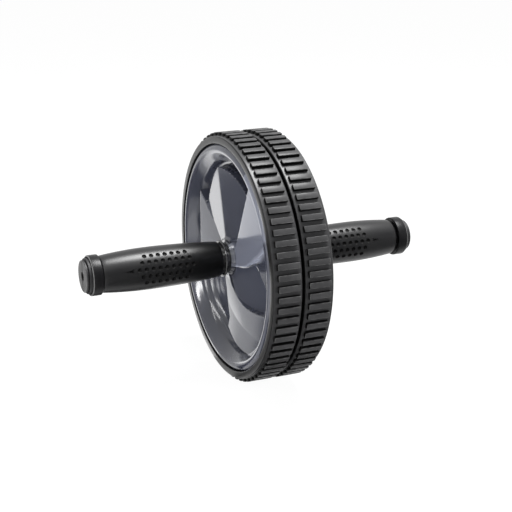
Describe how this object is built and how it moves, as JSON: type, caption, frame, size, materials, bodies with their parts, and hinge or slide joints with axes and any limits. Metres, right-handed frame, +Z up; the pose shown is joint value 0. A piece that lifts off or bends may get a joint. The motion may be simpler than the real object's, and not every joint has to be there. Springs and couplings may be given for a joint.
{
  "type": "ab roller",
  "caption": "Dual-wheel ab roller: two free-running rubber-treaded wheels side by side on one axle, with a dimpled barrel grip on each side",
  "frame": {"origin": "middle of the axle, midway between the two wheels, at the centre of the object's box", "axes": "+Y along the axle towards the right handle, +X the rolling direction, +Z up from the floor the wheels stand on"},
  "size_m": [0.185, 0.259, 0.185],
  "materials": {
    "wheel_plastic": "glossy moulded cool grey plastic",
    "tyre_rubber": "matt dark grey rubber, bar tops dusted lighter",
    "grip_rubber": "smooth satin black rubber",
    "gloss_black_plastic": "glossy black plastic",
    "cap_plastic": "satin black plastic with a faint grain",
    "plug_plastic": "matt dark grey plastic",
    "steel": "zinc-plated steel",
    "nylon": "natural nylon"
  },
  "bodies": {
    "handle_bar": {"axle": "steel", "centre_washer": "nylon", "left_thrust_washer": "gloss_black_plastic", "right_thrust_washer": "gloss_black_plastic", "left_handle_core": "gloss_black_plastic", "right_handle_core": "gloss_black_plastic", "left_grip": "grip_rubber", "right_grip": "grip_rubber", "left_end_cap": "cap_plastic", "right_end_cap": "cap_plastic", "left_nut_washer": "steel", "right_nut_washer": "steel", "left_end_nut": "steel", "right_end_nut": "steel", "left_end_plug": "plug_plastic", "right_end_plug": "plug_plastic"},
    "left_wheel_set": {"left_wheel": "wheel_plastic", "left_tyre": "tyre_rubber", "left_inner_bush": "nylon", "left_outer_bush": "nylon"},
    "right_wheel_set": {"right_wheel": "wheel_plastic", "right_tyre": "tyre_rubber", "right_inner_bush": "nylon", "right_outer_bush": "nylon"}
  },
  "joints": [
    {"name": "left_wheel_spin", "type": "hinge", "parent": "handle_bar", "child": "left_wheel_set", "pos_m": [0, 0, 0], "axis": [0, 1, 0], "continuous": true},
    {"name": "right_wheel_spin", "type": "hinge", "parent": "handle_bar", "child": "right_wheel_set", "pos_m": [0, 0, 0], "axis": [0, 1, 0], "continuous": true}
  ]
}
